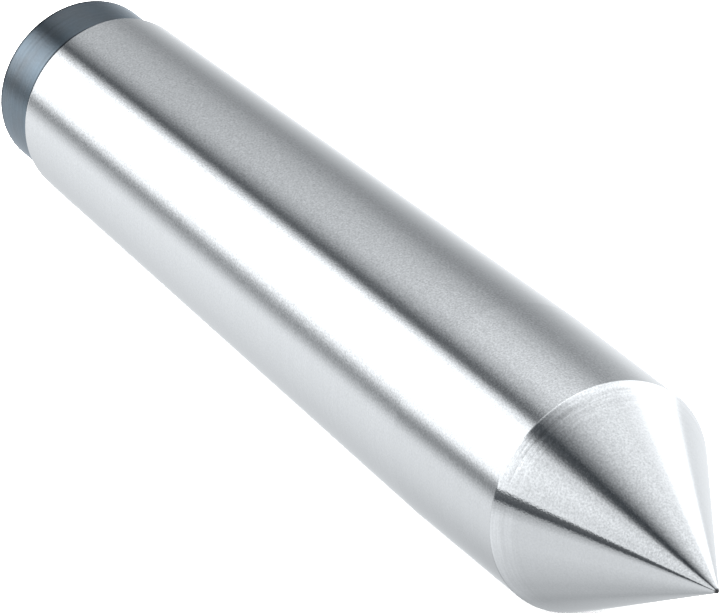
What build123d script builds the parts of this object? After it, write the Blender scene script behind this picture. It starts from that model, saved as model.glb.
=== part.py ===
from build123d import *
import math
import os

# Solid (fixed) lathe centre with a Morse taper No. 3 shank and a 60 degree point.
# One hardened and ground steel bar. It is written here as four solids that meet
# face to face at the bar's own form and finish boundaries:
#   rear_tenon | morse_taper_shank | head_cylinder | point_cone
#
# Frame: millimetres, origin on the axis at the Morse gauge plane,
# +X along the axis towards the point, +Z up.

# ---- driving dimensions (mm) ----
gauge_d = 23.825          # Morse 3, diameter at the gauge plane
taper_ratio = 1 / 19.922  # Morse 3, change of diameter per mm of length
gauge_to_head = 5.0       # the taper runs on this far in front of the gauge plane
overall_length = 125.0    # rear face to the theoretical sharp point
shank_length = 81.0       # gauge plane to rear face, tenon included
tenon_length = 7.0
tenon_d = 18.8            # relieved rear tenon, clear of the socket
tenon_chamfer = 0.4
ground_edge_radius = 0.2  # rear edge of the ground taper
point_angle = 60.0        # included angle of the point
point_flat_d = 0.2        # the point's tiny blunt end
head_edge_radius = 0.5    # blend between the head and the point

# centre hole in the rear face, 60 degrees, type A, 2.5 mm pilot
centre_pilot_d = 2.5
centre_mouth_d = 5.3
centre_pilot_length = 3.0
centre_drill_angle = 120.0

# ---- derived ----
head_d = gauge_d + gauge_to_head * taper_ratio
head_r = head_d / 2
cone_height = head_r / math.tan(math.radians(point_angle / 2))
x_rear = -shank_length
x_step = x_rear + tenon_length
x_head = gauge_to_head
x_point = x_rear + overall_length          # theoretical sharp point
x_cone = x_point - cone_height             # where the head meets the point
x_tip = x_point - point_flat_d / 2 / math.tan(math.radians(point_angle / 2))


def taper_r(x):
    return (gauge_d + x * taper_ratio) / 2


def revolved(*outline):
    """Closed (x, r) outline on the XZ plane, turned about the X axis. Each item is a list of
    points joined by straight lines, or ("arc", start, middle, end)."""
    with BuildPart() as p:
        with BuildSketch(Plane.XZ):
            with BuildLine():
                for item in outline:
                    if item[0] == "arc":
                        ThreePointArc(*item[1:])
                    else:
                        Polyline(*item)
            make_face()
        revolve(axis=Axis.X, revolution_arc=360)
    return p.part


def on_arc(centre, radius, degrees):
    a = math.radians(degrees)
    return (centre[0] + radius * math.cos(a), centre[1] + radius * math.sin(a))


# ---- blend between head and point, shared by both solids, split at x_cone ----
half = point_angle / 2
blend_t = head_edge_radius * math.tan(math.radians(half / 2))
blend_c = (x_cone - blend_t, head_r - head_edge_radius)
blend_split = math.degrees(math.acos(blend_t / head_edge_radius))   # where the arc crosses x_cone
seam = on_arc(blend_c, head_edge_radius, blend_split)

# ---- point cone: 60 degrees, with a blunt end of 0.2 mm ----
cone_tangent = on_arc(blend_c, head_edge_radius, 90 - half)
point_cone = revolved(
    [(x_cone, 0), seam],
    ("arc", seam, on_arc(blend_c, head_edge_radius, (blend_split + 90 - half) / 2), cone_tangent),
    [cone_tangent, (x_tip, point_flat_d / 2), (x_tip, 0), (x_cone, 0)],
)

# ---- head cylinder: short plain length between the taper and the point ----
head_tangent = on_arc(blend_c, head_edge_radius, 90)
head_cylinder = revolved(
    [(x_cone, 0), (x_head, 0), (x_head, head_r), head_tangent],
    ("arc", head_tangent, on_arc(blend_c, head_edge_radius, (90 + blend_split) / 2), seam),
    [seam, (x_cone, 0)],
)

# ---- Morse taper shank: ground taper, gauge plane at x = 0, rounded rear edge ----
slope = taper_ratio / 2
slope_deg = math.degrees(math.atan(slope))
edge_c = (x_step + ground_edge_radius,
          taper_r(x_step + ground_edge_radius) - ground_edge_radius * math.hypot(1, slope))
edge_step = on_arc(edge_c, ground_edge_radius, 180)
edge_taper = on_arc(edge_c, ground_edge_radius, 90 + slope_deg)
morse_taper_shank = revolved(
    [(x_head, 0), (x_step, 0), edge_step],
    ("arc", edge_step, on_arc(edge_c, ground_edge_radius, 135 + slope_deg / 2), edge_taper),
    [edge_taper, (x_head, head_r), (x_head, 0)],
)

# ---- rear tenon: turned, blackened, with the grinding centre hole in its face ----
tenon_r = tenon_d / 2
mouth_depth = (centre_mouth_d - centre_pilot_d) / 2 / math.tan(math.radians(30))
x_mouth = x_rear + mouth_depth
x_pilot_end = x_mouth + centre_pilot_length
x_hole_end = x_pilot_end + centre_pilot_d / 2 / math.tan(math.radians(centre_drill_angle / 2))
rear_tenon = revolved([
    (x_step, 0),
    (x_hole_end, 0),
    (x_pilot_end, centre_pilot_d / 2),
    (x_mouth, centre_pilot_d / 2),
    (x_rear, centre_mouth_d / 2),
    (x_rear, tenon_r - tenon_chamfer),
    (x_rear + tenon_chamfer, tenon_r),
    (x_step, tenon_r),
    (x_step, 0),
])

os.makedirs("parts", exist_ok=True)
for name, shape in (
    ("point_cone", point_cone),
    ("head_cylinder", head_cylinder),
    ("morse_taper_shank", morse_taper_shank),
    ("rear_tenon", rear_tenon),
):
    export_step(shape, f"parts/{name}.step")

print("head diameter", round(head_d, 3))
print("cone height", round(cone_height, 3), "from x", round(x_cone, 3), "to", round(x_tip, 3))
print("taper small end diameter", round(2 * taper_r(x_step), 3))
print("pilot from x", round(x_mouth, 3), "to", round(x_pilot_end, 3))
print("volume mm3", round(sum(s.volume for s in (point_cone, head_cylinder, morse_taper_shank, rear_tenon)), 1))
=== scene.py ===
import bpy, math
from mathutils import Matrix, Vector


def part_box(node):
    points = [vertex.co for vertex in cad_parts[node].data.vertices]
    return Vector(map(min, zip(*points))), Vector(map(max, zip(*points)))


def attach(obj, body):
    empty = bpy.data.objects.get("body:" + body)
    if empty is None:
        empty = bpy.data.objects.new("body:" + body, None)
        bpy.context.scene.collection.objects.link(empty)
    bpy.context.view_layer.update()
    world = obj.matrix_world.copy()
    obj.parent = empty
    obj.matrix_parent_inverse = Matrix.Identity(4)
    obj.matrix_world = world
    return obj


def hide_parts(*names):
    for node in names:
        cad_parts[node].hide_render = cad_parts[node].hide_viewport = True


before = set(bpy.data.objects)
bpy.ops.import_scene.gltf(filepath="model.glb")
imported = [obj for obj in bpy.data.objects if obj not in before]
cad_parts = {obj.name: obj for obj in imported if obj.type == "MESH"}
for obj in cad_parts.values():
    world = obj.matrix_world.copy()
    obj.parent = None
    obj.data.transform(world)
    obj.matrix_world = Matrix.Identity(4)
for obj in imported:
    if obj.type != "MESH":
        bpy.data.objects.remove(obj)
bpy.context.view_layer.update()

MM = 0.001
SEG = 384                      # facets round the axis
scene = bpy.context.scene
scene.view_settings.view_transform = "Standard"
scene.view_settings.look = "None"

# ------------------------------------------------------------------ sizes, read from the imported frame
cone_lo, cone_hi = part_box("point_cone")
head_lo, head_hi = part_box("head_cylinder")
taper_lo, taper_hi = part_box("morse_taper_shank")
tenon_lo, tenon_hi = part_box("rear_tenon")

x_rear = tenon_lo.x / MM
x_step = taper_lo.x / MM
x_head = head_lo.x / MM
x_cone = cone_lo.x / MM
x_tip = cone_hi.x / MM
head_r = head_hi.z / MM
tenon_r = tenon_hi.z / MM
SLOPE = (1 / 19.922) / 2       # Morse 3, radius per mm of length
CONE = math.tan(math.radians(30))


def taper_r(x):
    return head_r - (x_head - x) * SLOPE


# ------------------------------------------------------------------ camera, at the photograph's viewing angle
cam_data = bpy.data.cameras.new("camera")
cam_data.lens = 352.7
cam_data.sensor_width = 36.0
cam_data.sensor_fit = "HORIZONTAL"
cam_data.clip_start = 0.01
cam_data.clip_end = 50.0
cam = bpy.data.objects.new("camera", cam_data)
scene.collection.objects.link(cam)
right = Vector((0.50064, 0.86566, 0.0)).normalized()
forward = Vector((-0.76833, 0.44435, -0.46068)).normalized()
up = right.cross(forward).normalized()
right = forward.cross(up).normalized()
cam.matrix_world = Matrix((
    (right.x, up.x, -forward.x, 513.7 * MM),
    (right.y, up.y, -forward.y, -309.7 * MM),
    (right.z, up.z, -forward.z, 321.1 * MM),
    (0, 0, 0, 1),
))
scene.camera = cam


# ------------------------------------------------------------------ lathe work
# An outline is a list of (x, r, tangent or None): points in mm, with the outline's direction there in degrees
# where it runs smoothly, and None at a hard corner.
def line(x0, r0, x1, r1, cuts=None):
    """Points from (x0, r0) to (x1, r1), with the line's own direction; cuts are fractions along it."""
    t = math.degrees(math.atan2(r1 - r0, x1 - x0))
    return [(x0 + (x1 - x0) * f, r0 + (r1 - r0) * f, t) for f in [0.0] + list(cuts or []) + [1.0]]


def arc(cx, cr, rad, a0, a1, n):
    """Arc about (cx, cr) from angle a0 to a1 in degrees."""
    side = 90 if a1 > a0 else -90
    out = []
    for i in range(n + 1):
        a = a0 + (a1 - a0) * i / n
        out.append((cx + rad * math.cos(math.radians(a)), cr + rad * math.sin(math.radians(a)), a + side))
    return out


def lathe(name, outline):
    """A closed solid turned about the X axis, with exact normals. The outline starts and ends on the axis."""
    pts = []
    for x, r, t in outline:
        if pts and abs(pts[-1][0] - x) < 1e-6 and abs(pts[-1][1] - r) < 1e-6:
            old = pts[-1]
            turn = None if (t is None or old[3] is None) else (t - old[3] + 180) % 360 - 180
            pts[-1] = (x, r, old[2], t if (turn is None or abs(turn) > 0.01) else old[3])
            if turn is not None and abs(turn) > 0.01:
                pts[-1] = (x, r, old[3], t)
        else:
            pts.append((x, r, t, t))
    verts, rings = [], []
    for x, r, _, _ in pts:
        n = 1 if r < 1e-9 else SEG
        rings.append(list(range(len(verts), len(verts) + n)))
        for k in range(n):
            a = 2 * math.pi * k / SEG
            verts.append((x * MM, r * math.sin(a) * MM, r * math.cos(a) * MM))
    faces, normals = [], []

    def nrm(tangent, k):
        a = 2 * math.pi * k / SEG
        nx, nr = -math.sin(math.radians(tangent)), math.cos(math.radians(tangent))
        return (nx, nr * math.sin(a), nr * math.cos(a))

    for i in range(len(pts) - 1):
        a, b = rings[i], rings[i + 1]
        if len(a) == 1 and len(b) == 1:
            continue
        own = math.degrees(math.atan2(pts[i + 1][1] - pts[i][1], pts[i + 1][0] - pts[i][0]))
        ta = own if pts[i][3] is None else pts[i][3]
        tb = own if pts[i + 1][2] is None else pts[i + 1][2]
        for k in range(SEG):
            j = (k + 1) % SEG
            if len(a) == 1:
                faces.append((a[0], b[k], b[j]))
                normals += [nrm(ta, k + 0.5), nrm(tb, k), nrm(tb, k + 1)]
            elif len(b) == 1:
                faces.append((a[k], b[0], a[j]))
                normals += [nrm(ta, k), nrm(tb, k + 0.5), nrm(ta, k + 1)]
            else:
                faces.append((a[k], b[k], b[j], a[j]))
                normals += [nrm(ta, k), nrm(tb, k), nrm(tb, k + 1), nrm(ta, k + 1)]
    me = bpy.data.meshes.new(name)
    me.from_pydata(verts, [], faces)
    me.update()
    me.polygons.foreach_set("use_smooth", [True] * len(me.polygons))
    me.normals_split_custom_set(normals)
    me.update()
    ob = bpy.data.objects.new(name, me)
    scene.collection.objects.link(ob)
    return ob


def flat_end(x, r0, r1):
    """A plane end face between two radii."""
    return [(x, r0, 90 if r1 > r0 else -90), (x, r1, 90 if r1 > r0 else -90)]


# ---- blend between head and point, as in the CAD
EDGE = 0.5
t = EDGE * math.tan(math.radians(15))
bc = (x_cone - t, head_r - EDGE)
split = math.degrees(math.acos(t / EDGE))
seam_r = bc[1] + EDGE * math.sin(math.radians(split))

# ---- the point: rounded blunt end, 60 degree flank
ball = 0.18                                   # radius of the worn end
ball_start = 60.0                             # tangent to the flank: its normal leans 30 degrees forward
rb = ball * math.sin(math.radians(ball_start))
ball_x = x_cone + (head_r - rb) / CONE - ball * math.cos(math.radians(ball_start))
tip = arc(ball_x, 0, ball, ball_start, 0, 6)
blend_end = (bc[0] + EDGE * math.cos(math.radians(60)), bc[1] + EDGE * math.sin(math.radians(60)))
cuts = [0.05, 0.15, 0.3, 0.45, 0.6, 0.72, 0.82, 0.9, 0.95, 0.98]
point = lathe("ground_point", flat_end(x_cone, 0, seam_r)
              + arc(*bc, EDGE, split, 60, 3)
              + line(*blend_end, tip[0][0], tip[0][1], cuts)
              + tip)

# ---- the head
head = lathe("ground_head", flat_end(x_head, 0, head_r)
             + line(x_head, head_r, bc[0], head_r, [0.1, 0.3, 0.5, 0.7, 0.9])
             + arc(*bc, EDGE, 90, split, 3)
             + flat_end(x_cone, seam_r, 0))

# ---- the Morse taper, with a rounded rear edge
RE = 0.2
sd = math.degrees(math.atan(SLOPE))
ec = (x_step + RE, taper_r(x_step + RE) - RE * math.hypot(1, SLOPE))
edge_end = (ec[0] + RE * math.cos(math.radians(90 + sd)), ec[1] + RE * math.sin(math.radians(90 + sd)))
shank = lathe("ground_taper_shank", flat_end(x_step, 0, ec[1])
              + arc(*ec, RE, 180, 90 + sd, 8)
              + line(*edge_end, x_head, head_r, [i / 16 for i in range(1, 16)])
              + flat_end(x_head, head_r, 0))

# ---- the blackened tenon, with its chamfer and centre hole
CH = 0.4
mouth_r, pilot_r = 2.65, 1.25
x_mouth = x_rear + (mouth_r - pilot_r) / CONE
x_pilot = x_mouth + 3.0
x_deep = x_pilot + pilot_r / math.tan(math.radians(60))
soft = 0.08
tenon = lathe("blackened_tenon",
              line(x_deep, 0, x_pilot, pilot_r)
              + line(x_pilot, pilot_r, x_mouth, pilot_r)
              + line(x_mouth, pilot_r, x_rear, mouth_r)
              + flat_end(x_rear, mouth_r, tenon_r - CH - soft * math.tan(math.radians(22.5)))
              + arc(x_rear + soft, tenon_r - CH - soft * math.tan(math.radians(22.5)), soft, 180, 135, 3)
              + arc(x_rear + CH + soft * math.tan(math.radians(22.5)), tenon_r - soft, soft, 135, 90, 3)
              + line(x_rear + CH + soft * math.tan(math.radians(22.5)), tenon_r, x_step, tenon_r, [0.2, 0.4, 0.6, 0.8])
              + flat_end(x_step, tenon_r, 0))

for piece, node, slot in ((point, "point_cone", "ground_cone"), (head, "head_cylinder", "ground_head"),
                          (shank, "morse_taper_shank", "ground_taper"), (tenon, "rear_tenon", "blackened_steel")):
    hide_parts(node)
    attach(piece, "root")


# ------------------------------------------------------------------ node helpers
class Net:
    """Short hand for building a node tree."""
    def __init__(self, tree):
        self.t = tree
        tree.nodes.clear()

    def add(self, kind, inputs=None, **props):
        n = self.t.nodes.new(kind)
        for k, v in props.items():
            setattr(n, k, v)
        for k, v in (inputs or {}).items():
            self.put(n.inputs[k], v)
        return n

    def put(self, socket, v):
        if isinstance(v, bpy.types.NodeSocket):
            self.t.links.new(v, socket)
        else:
            socket.default_value = v

    def math(self, op, a, b=0.0, c=0.0, clamp=False):
        n = self.add("ShaderNodeMath", operation=op, use_clamp=clamp)
        for i, v in enumerate((a, b, c)):
            self.put(n.inputs[i], v)
        return n.outputs[0]

    def smooth(self, v, lo, hi, a=0.0, b=1.0):
        n = self.add("ShaderNodeMapRange", interpolation_type="SMOOTHSTEP")
        for i, q in enumerate((v, lo, hi, a, b)):
            self.put(n.inputs[i], q)
        return n.outputs[0]

    def linear(self, v, lo, hi, a=0.0, b=1.0):
        n = self.add("ShaderNodeMapRange", interpolation_type="LINEAR")
        for i, q in enumerate((v, lo, hi, a, b)):
            self.put(n.inputs[i], q)
        return n.outputs[0]

    def mix(self, f, a, b):
        """Mix of two values."""
        n = self.add("ShaderNodeMix", data_type="FLOAT")
        self.put(n.inputs[0], f)
        self.put(n.inputs[2], a)
        self.put(n.inputs[3], b)
        return n.outputs[0]

    def mix_color(self, f, a, b, blend="MIX"):
        n = self.add("ShaderNodeMix", data_type="RGBA", blend_type=blend)
        self.put(n.inputs[0], f)
        self.put(n.inputs[6], a)
        self.put(n.inputs[7], b)
        return n.outputs[2]

    def ramp(self, v, stops, scale=1.0):
        """Value ramp; stops are (position, value), values up to scale."""
        n = self.add("ShaderNodeValToRGB", {"Fac": v})
        r = n.color_ramp
        r.interpolation = "LINEAR"
        while len(r.elements) > 1:
            r.elements.remove(r.elements[-1])
        first = True
        for p, q in stops:
            e = r.elements[0] if first else r.elements.new(p)
            first = False
            e.position = p
            e.color = (q / scale, q / scale, q / scale, 1)
        return self.math("MULTIPLY", n.outputs[0], scale)


# ------------------------------------------------------------------ studio light
# A light tent: a long round tent about the object's axis, seen only in reflections. Its panels are placed by the
# angle round the axis, from overhead (0) to the horizon on the camera's side (-90) and on the far side (+90),
# and by the distance along the axis in mm. The tent's lower half stands for the pale table.
TENT_R = 120.0
REAR = [  # angle, radiance: the part of the tent behind the object, seen by the long shank
    (-180, 0.88), (-150, 1.09), (-112, 1.31),                  # table
    (-104, 0.65), (-99, 0.27), (-96, 0.31), (-92, 0.64),                    # dark rim under the key softbox
    (-84, 1.85), (-76, 2.05), (-58, 3.10), (-42, 2.40), (-34, 1.80),  # key softbox
    (-29, 1.04), (-23, 0.14), (-19, 0.14), (-10, 0.48),         # dark gap above it
    (0, 0.75), (14, 0.74), (30, 0.69), (46, 0.55), (60, 0.33),  # grey overhead sheet, fading
    (74, 0.60), (90, 0.76), (108, 1.33),                       # far side, brightening
    (136, 1.55), (146, 1.02), (156, 0.95), (178, 0.95), (180, 0.88),        # white backdrop at the horizon, then the table
]
FRONT = [  # the part of the tent beside the point
    (-180, 0.60), (-171, 0.67), (-162, 0.69), (-150, 0.80), (-125, 1.01), (-105, 1.02), (-98, 0.68),
    (-94, 0.52), (-84, 1.36), (-60, 1.67), (-46, 1.32),
    (-41, 0.58), (-37, 0.16), (-30, 0.10), (-22, 0.39), (-12, 0.82),
    (0, 1.23), (14, 1.19), (30, 0.79), (44, 0.32), (60, 0.46), (74, 0.56),
    (92, 1.14), (120, 1.17), (136, 1.55), (148, 1.35), (154, 0.98), (162, 0.87), (172, 0.72), (180, 0.60),
]
FAR = [(2, 0.0), (14, 0.09), (24, 0.31), (32, 0.54), (42, 1.05), (50, 1.50), (77.5, 1.50), (86, 0.24), (92, 0.0)]  # white far wall
tm = bpy.data.materials.new("light_tent")
tm.use_nodes = True
w = Net(tm.node_tree)
at = w.add("ShaderNodeSeparateXYZ", {0: w.add("ShaderNodeTexCoord").outputs["Object"]}).outputs
along = w.math("MULTIPLY", at[0], 1000.0)
angle = w.math("MULTIPLY", w.math("ARCTAN2", at[1], at[2]), 180 / math.pi)
pos = w.linear(angle, -180, 180)
rear = w.ramp(pos, [((d + 180) / 360, v) for d, v in REAR], 3.0)
front = w.ramp(pos, [((d + 180) / 360, v) for d, v in FRONT], 3.0)
# thin dark rim under the front softbox, at the horizon
low_side = w.linear(along, 44.0, 58.0, 0.0, 2.5)
high_side = w.linear(along, 24.0, 58.0, 0.0, 1.2)
rim = w.math("MULTIPLY", w.smooth(w.math("ADD", angle, low_side), -95.5, -93.0), w.smooth(w.math("ADD", angle, high_side), -86.1, -84.7, 1.0, 0.0))
front = w.math("MULTIPLY", front, w.math("MULTIPLY_ADD", rim, -0.82, 1.0))
# the rear softbox's rim is darker farther back
deep = w.math("MULTIPLY", w.smooth(along, -200.0, -168.0, 0.50, 0.0), w.math("MULTIPLY", w.smooth(angle, -101.0, -97.5), w.smooth(angle, -94.0, -89.0, 1.0, 0.0)))
rear = w.math("MULTIPLY", rear, w.math("SUBTRACT", 1.0, deep))
# the table is shaded close under the object, and the front softbox and overhead sheet fade past the point
low = w.math("MULTIPLY", w.smooth(w.math("ABSOLUTE", angle), 125.0, 165.0), w.smooth(along, -105.0, -75.0))
shade = w.math("MULTIPLY", low, w.linear(along, -56.0, -8.0, 0.38, -0.04))
front = w.math("MULTIPLY", front, w.math("SUBTRACT", 1.0, shade))
over = w.math("MULTIPLY", w.smooth(angle, -96.0, -76.0), w.smooth(angle, 0.0, 26.0, 1.0, 0.0))
fade = w.math("MULTIPLY", over, w.linear(along, 26.0, 62.0, -0.05, 0.36))
front = w.math("MULTIPLY", front, w.math("SUBTRACT", 1.0, fade))
# where the rear panels give way to the front ones
keyed = w.math("MULTIPLY", w.smooth(angle, -112.0, -100.0), w.smooth(angle, -36.0, -20.0, 1.0, 0.0))
lean = w.smooth(along, w.math("MULTIPLY_ADD", keyed, 80.0, -190.0), w.math("MULTIPLY_ADD", keyed, 20.0, -40.0))
# the backdrop is lower beside the point
edge = w.math("MULTIPLY", w.smooth(angle, 124.0, 138.0), w.smooth(angle, 145.0, 154.0, 1.0, 0.0))
edge = w.math("MULTIPLY", edge, w.smooth(along, -90.0, -50.0, 0.0, 0.60))
front = w.math("MULTIPLY", front, w.math("SUBTRACT", 1.0, edge))
light = w.mix(lean, rear, front)
# the dark gap is a little wider beside the head
gap = w.math("MULTIPLY", w.smooth(along, -150.0, -114.0), w.smooth(along, -90.0, -50.0, 0.45, 0.0))
gap = w.math("MULTIPLY", gap, w.math("MULTIPLY", w.smooth(angle, -30.5, -26.5), w.smooth(angle, -22.0, -14.0, 1.0, 0.0)))
light = w.math("MULTIPLY", light, w.math("SUBTRACT", 1.0, gap))
# white wall on the far side, in front of the shank's part
wall = w.ramp(pos, [((d + 180) / 360, v) for d, v in FAR], 3.0)
light = w.math("ADD", light, w.math("MULTIPLY", wall, w.smooth(along, -95.0, -35.0)))
# narrow strip light overhead, square to the object, that catches the edge between head and point
strip = w.math("MULTIPLY", w.smooth(along, -56.0, -42.0), w.smooth(along, -30.0, -14.0, 1.0, 0.0))
strip = w.math("MULTIPLY", strip, w.math("MULTIPLY", w.smooth(angle, -40.0, -18.0), w.smooth(angle, 8.0, 42.0, 1.3, 0.0)))
light = w.math("ADD", light, strip)
# the tent's far end behind the object is open and dark above, and a bright table below
below = w.smooth(w.math("ABSOLUTE", w.math("ADD", angle, 6.0)), 92.0, 104.0, 0.03, 1.9)
light = w.mix(w.smooth(along, -430.0, -290.0), below, light)
# a little cooler in the dark gaps than in the panels
tint = w.add("ShaderNodeCombineColor", {0: w.math("MAXIMUM", w.math("MULTIPLY_ADD", light, 0.973, -0.0075), 0.0), 1: light,
             2: w.math("MULTIPLY_ADD", light, 1.0215, 0.0085)})
w.add("ShaderNodeOutputMaterial", {"Surface": w.add("ShaderNodeEmission", {"Color": tint.outputs[0], "Strength": 1.0}).outputs[0]})
tm.cycles.emission_sampling = "NONE"

TS = 180
tv, tf = [], []
for x in (-1500.0, 1500.0):
    for k in range(TS):
        a = 2 * math.pi * k / TS
        tv.append((x * MM, TENT_R * math.sin(a) * MM, TENT_R * math.cos(a) * MM))
for k in range(TS):
    tf.append((k, (k + 1) % TS, TS + (k + 1) % TS, TS + k))
tf += [tuple(range(TS)), tuple(range(2 * TS - 1, TS - 1, -1))]
tent_mesh = bpy.data.meshes.new("light_tent")
tent_mesh.from_pydata(tv, [], tf)
tent_mesh.update()
tent_mesh.materials.append(tm)
tent = bpy.data.objects.new("light_tent", tent_mesh)
scene.collection.objects.link(tent)
for kind in ("camera", "diffuse", "shadow", "transmission", "volume_scatter"):
    setattr(tent, "visible_" + kind, False)

# the room: plain and pale, brighter overhead
world = bpy.data.worlds.new("studio")
scene.world = world
world.use_nodes = True
w = Net(world.node_tree)
dn = w.add("ShaderNodeSeparateXYZ", {0: w.add("ShaderNodeTexCoord").outputs["Generated"]}).outputs
room = w.add("ShaderNodeBackground", {"Color": (1.0, 1.0, 1.0, 1), "Strength": w.linear(dn[2], 0.0, 1.0, 4.2, 5.0)})
plain = w.add("ShaderNodeBackground", {"Color": (1.0, 1.0, 0.992, 1), "Strength": 1.0})
seen = w.add("ShaderNodeLightPath")
pick = w.add("ShaderNodeMixShader", {0: seen.outputs["Is Camera Ray"], 1: room.outputs[0], 2: plain.outputs[0]})
w.add("ShaderNodeOutputWorld", {"Surface": pick.outputs[0]})

# ------------------------------------------------------------------ floor: a pale sheet under the taper's lower edge
floor_mesh = bpy.data.meshes.new("floor")
half = 3000.0
under = lambda x: -(taper_r(x) + 0.01)
floor_mesh.from_pydata([(x * MM, y * MM, under(x) * MM) for x, y in
                        ((-half, -half), (half, -half), (half, half), (-half, half))], [], [(0, 1, 2, 3)])
floor_mesh.update()
floor = bpy.data.objects.new("floor", floor_mesh)
scene.collection.objects.link(floor)
fm = bpy.data.materials.new("floor")
fm.use_nodes = True
f = Net(fm.node_tree)
fb = f.add("ShaderNodeBsdfDiffuse", {"Color": (0.93, 0.93, 0.925, 1)})
f.add("ShaderNodeOutputMaterial", {"Surface": fb.outputs[0]})
floor_mesh.materials.append(fm)
floor.visible_glossy = False


# ------------------------------------------------------------------ materials
def noise(n, p, scale, detail=2.0, rough=0.6, offset=(0, 0, 0)):
    at = n.add("ShaderNodeMapping", {0: p, "Location": offset, "Scale": scale}).outputs[0]
    return n.add("ShaderNodeTexNoise", {"Vector": at, "Scale": 1.0, "Detail": detail, "Roughness": rough}).outputs[0]


def facing(n, at, degrees):
    """Cosine of the angle round the X axis between a point and a direction, 0 being straight up."""
    a = math.radians(degrees)
    along_it = n.math("ADD", n.math("MULTIPLY", at[1], math.sin(a)), n.math("MULTIPLY", at[2], math.cos(a)))
    length = n.math("SQRT", n.math("ADD", n.math("POWER", at[1], 2.0), n.math("POWER", at[2], 2.0)))
    return n.math("DIVIDE", along_it, n.math("MAXIMUM", length, 1e-6))


def ground_steel(name, base, rough, grain, scratch, tone, seed=0.0, base_rings=False):
    """Cylindrically ground hardened steel: fine scratches run round the axis, and the light spreads along it."""
    m = bpy.data.materials.new(name)
    m.use_nodes = True
    n = Net(m.node_tree)
    p = n.add("ShaderNodeTexCoord").outputs["Object"]
    at = n.add("ShaderNodeSeparateXYZ", {0: p}).outputs
    x = n.math("MULTIPLY", at[0], 1000.0)
    tangent = n.add("ShaderNodeTangent", direction_type="RADIAL", axis="X").outputs[0]
    off = (seed, seed * 0.7, seed * 1.3)
    speck = noise(n, p, (5400, 4900, 4900), 1.0, 0.5, off)                 # satin grain, about 0.2 mm
    fine = noise(n, p, (9000, 1200, 1200), 3.0, 0.65, off)                # fine scratches, longer round the axis
    lines = noise(n, p, (1400, 14, 14), 4.0, 0.6, off)                    # whole grinding lines
    height = n.math("ADD", n.math("MULTIPLY", speck, grain), n.math("MULTIPLY", fine, scratch))
    # the grain's tone contrast is stronger along one side of the bar than round the rest of it (strength only, placed
    # as in the photo)
    depth = n.math("MULTIPLY", n.smooth(facing(n, at, -33.0), 0.62, 0.88, 0.25, 1.0), tone)
    value = n.math("MULTIPLY_ADD", n.linear(speck, 0.2, 0.8, -1.0, 1.0), depth, 1.0)
    value = n.math("MULTIPLY", value, n.linear(lines, 0.3, 0.7, 0.985, 1.015))
    if base_rings:
        # coarser wheel marks on the first few mm of the cone, in broken arcs
        arcs = noise(n, p, (3500, 170, 170), 3.0, 0.6, (0.3, 0.1, 0.7))
        patch = n.smooth(noise(n, p, (60, 150, 150), 1.0, 0.5), 0.38, 0.60, 0.55, 1.0)
        near = n.math("MULTIPLY", n.smooth(x, x_cone + 0.8, x_cone + 3.8, 1.0, 0.0), patch)
        near = n.math("MULTIPLY", near, n.smooth(facing(n, at, -15.0), 0.55, 0.92, 0.35, 1.0))
        value = n.math("MULTIPLY", value, n.math("MULTIPLY_ADD", near, n.linear(arcs, 0.3, 0.7, -0.30, 0.30), 1.0))
        height = n.math("ADD", height, n.math("MULTIPLY", n.math("MULTIPLY", near, arcs), 2.0))
        # painted highlight: the steel is paler close to the base of the cone
        wide = n.smooth(x, x_cone + 0.8, x_cone + 3.2, 0.06, 0.0)
        close = n.smooth(x, x_cone + 0.3, x_cone + 1.3, 0.10, 0.0)
        value = n.math("MULTIPLY", value, n.math("ADD", n.math("ADD", wide, close), 1.0))
        # the very tip is darker
        value = n.math("MULTIPLY", value, n.smooth(x, x_tip - 0.42, x_tip - 0.16, 1.0, 0.12))
    bump = n.add("ShaderNodeBump", {"Strength": 1.0, "Distance": 0.00001, "Height": height}).outputs[0]
    r = n.math("ADD", rough - 0.02, n.math("MULTIPLY", speck, 0.04))
    col = n.add("ShaderNodeVectorMath", {0: base}, operation="SCALE")
    n.put(col.inputs["Scale"], value)
    bsdf = n.add("ShaderNodeBsdfMetallic", {"Base Color": col.outputs[0], "Edge Tint": (1, 1, 1, 1), "Roughness": r,
                 "Anisotropy": 1.0, "Rotation": 0.25, "Tangent": tangent, "Normal": bump},
                 distribution="BECKMANN", fresnel_type="F82")
    n.add("ShaderNodeOutputMaterial", {"Surface": bsdf.outputs[0]})
    return m


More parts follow.
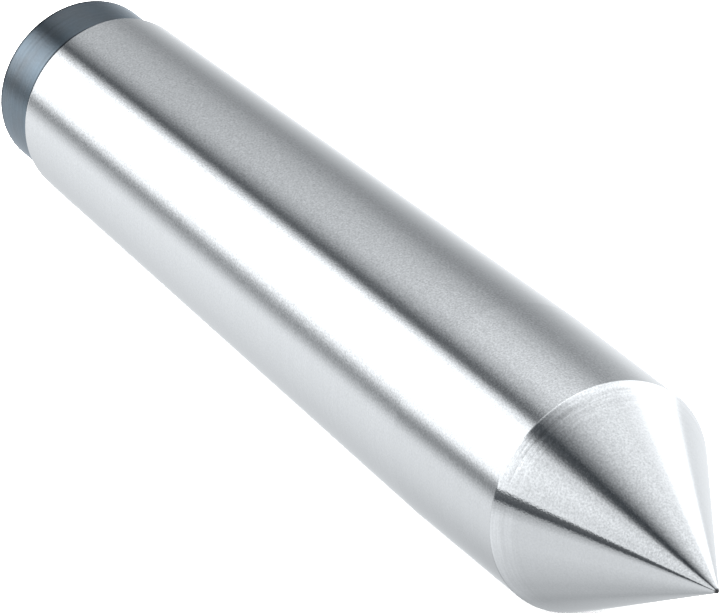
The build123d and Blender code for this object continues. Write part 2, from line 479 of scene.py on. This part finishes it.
def black_oxide(name):
    """Turned, hardened and blackened steel: visible turning marks under a thin dark oxide."""
    m = bpy.data.materials.new(name)
    m.use_nodes = True
    n = Net(m.node_tree)
    p = n.add("ShaderNodeTexCoord").outputs["Object"]
    at = n.add("ShaderNodeSeparateXYZ", {0: p}).outputs
    x = n.math("MULTIPLY", at[0], 1000.0)
    marks = noise(n, p, (2700, 90, 90), 3.0, 0.6)                          # turning marks, broken round the axis
    speck = noise(n, p, (3600, 3000, 3000), 2.0, 0.7)
    blot = noise(n, p, (350, 260, 260), 4.0)
    value = n.linear(marks, 0.25, 0.75, 0.88, 1.12)
    value = n.math("MULTIPLY", value, n.linear(speck, 0.2, 0.8, 0.93, 1.07))
    value = n.math("MULTIPLY", value, n.linear(blot, 0.3, 0.7, 0.93, 1.07))
    # painted shade: darker in the corner under the step
    value = n.math("MULTIPLY", value, n.smooth(x, x_step - 1.08, x_step - 0.90, 1.0, 0.30))
    # painted shade: a dark rim along the rear edge
    value = n.math("MULTIPLY", value, n.smooth(x, x_rear + 0.55, x_rear + 0.80, 0.28, 1.0))
    height = n.math("ADD", n.math("MULTIPLY", marks, 2.0), n.math("MULTIPLY", speck, 0.8))
    bump = n.add("ShaderNodeBump", {"Strength": 1.0, "Distance": 0.00001, "Height": height}).outputs[0]
    # a little bluer in the blotches
    hue = n.mix_color(n.linear(blot, 0.35, 0.65), (0.135, 0.153, 0.169, 1), (0.122, 0.152, 0.178, 1))
    col = n.add("ShaderNodeVectorMath", {0: hue}, operation="SCALE")
    n.put(col.inputs["Scale"], value)
    tangent = n.add("ShaderNodeTangent", direction_type="RADIAL", axis="X").outputs[0]
    bsdf = n.add("ShaderNodeBsdfMetallic", {"Base Color": col.outputs[0], "Edge Tint": (0.9, 0.95, 1.0, 1), "Roughness": 0.32,
                 "Anisotropy": 0.5, "Rotation": 0.25, "Tangent": tangent, "Normal": bump},
                 distribution="BECKMANN", fresnel_type="F82")
    n.add("ShaderNodeOutputMaterial", {"Surface": bsdf.outputs[0]})
    return m


steel_base = (0.605, 0.61, 0.615)
point.data.materials.append(ground_steel("ground_steel_point", steel_base, 0.18, 0.37, 0.1, 0.22, 0.013, True))
head.data.materials.append(ground_steel("ground_steel_head", steel_base, 0.19, 0.30, 0.1, 0.23))
shank.data.materials.append(ground_steel("ground_steel_taper", steel_base, 0.19, 0.30, 0.1, 0.25))
tenon.data.materials.append(black_oxide("black_oxide_steel"))
